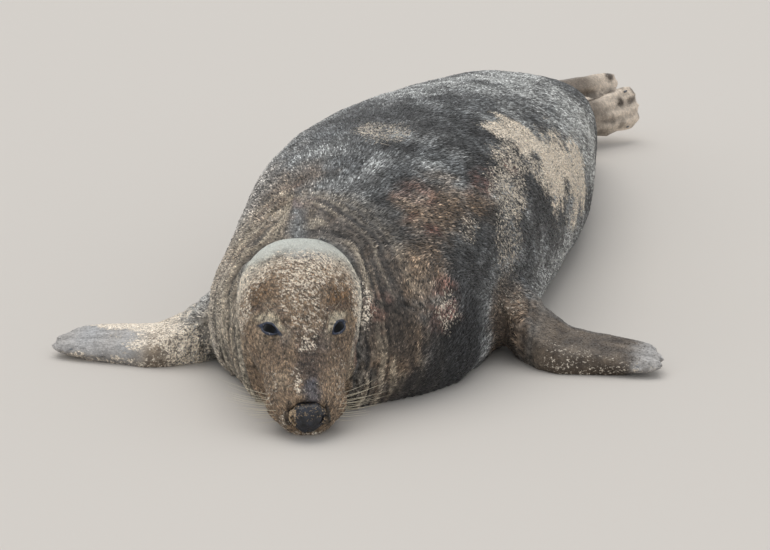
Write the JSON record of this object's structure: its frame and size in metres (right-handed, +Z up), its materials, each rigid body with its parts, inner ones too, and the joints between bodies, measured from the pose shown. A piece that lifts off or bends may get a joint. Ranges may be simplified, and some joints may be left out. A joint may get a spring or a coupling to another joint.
{
  "type": "grey seal",
  "caption": "Life-size grey seal bull at rest on its belly, chin on the ground, fore flippers spread and hind flippers trailing side by side.",
  "frame": {"origin": "middle of the seal's outline on the ground, at ground level", "axes": "+Z up, +Y towards the tail along the body, -Y towards the head, +X towards the seal's left side"},
  "size_m": [1.1373, 2.2397, 0.3971],
  "materials": {
    "coat_body": "short flat coat, dark grey with paler flecks",
    "coat_head": "short flat coat, grey-brown and smooth",
    "coat_flippers": "short flat coat over the flippers, sandy grey",
    "nose_skin": "bare dark skin, slightly moist",
    "eye_surface": "dark glossy eye",
    "claw_horn": "dark horn, half gloss"
  },
  "bodies": {
    "root": {"neck": "coat_body", "chest": "coat_body", "belly": "coat_body", "rump": "coat_body", "tail": "coat_body", "head": "coat_head", "lower_jaw": "coat_head", "fore_flipper_left": "coat_flippers", "fore_flipper_right": "coat_flippers", "hind_flipper_left": "coat_flippers", "hind_flipper_right": "coat_flippers", "nose": "nose_skin", "eye_left": "eye_surface", "eye_right": "eye_surface", "fore_claw_left_1": "claw_horn", "fore_claw_left_2": "claw_horn", "fore_claw_left_3": "claw_horn", "fore_claw_left_4": "claw_horn", "fore_claw_left_5": "claw_horn", "fore_claw_right_1": "claw_horn", "fore_claw_right_2": "claw_horn", "fore_claw_right_3": "claw_horn", "fore_claw_right_4": "claw_horn", "fore_claw_right_5": "claw_horn", "hind_claw_left_1": "claw_horn", "hind_claw_left_2": "claw_horn", "hind_claw_left_3": "claw_horn", "hind_claw_left_4": "claw_horn", "hind_claw_left_5": "claw_horn", "hind_claw_right_1": "claw_horn", "hind_claw_right_2": "claw_horn", "hind_claw_right_3": "claw_horn", "hind_claw_right_4": "claw_horn", "hind_claw_right_5": "claw_horn"}
  },
  "joints": []
}
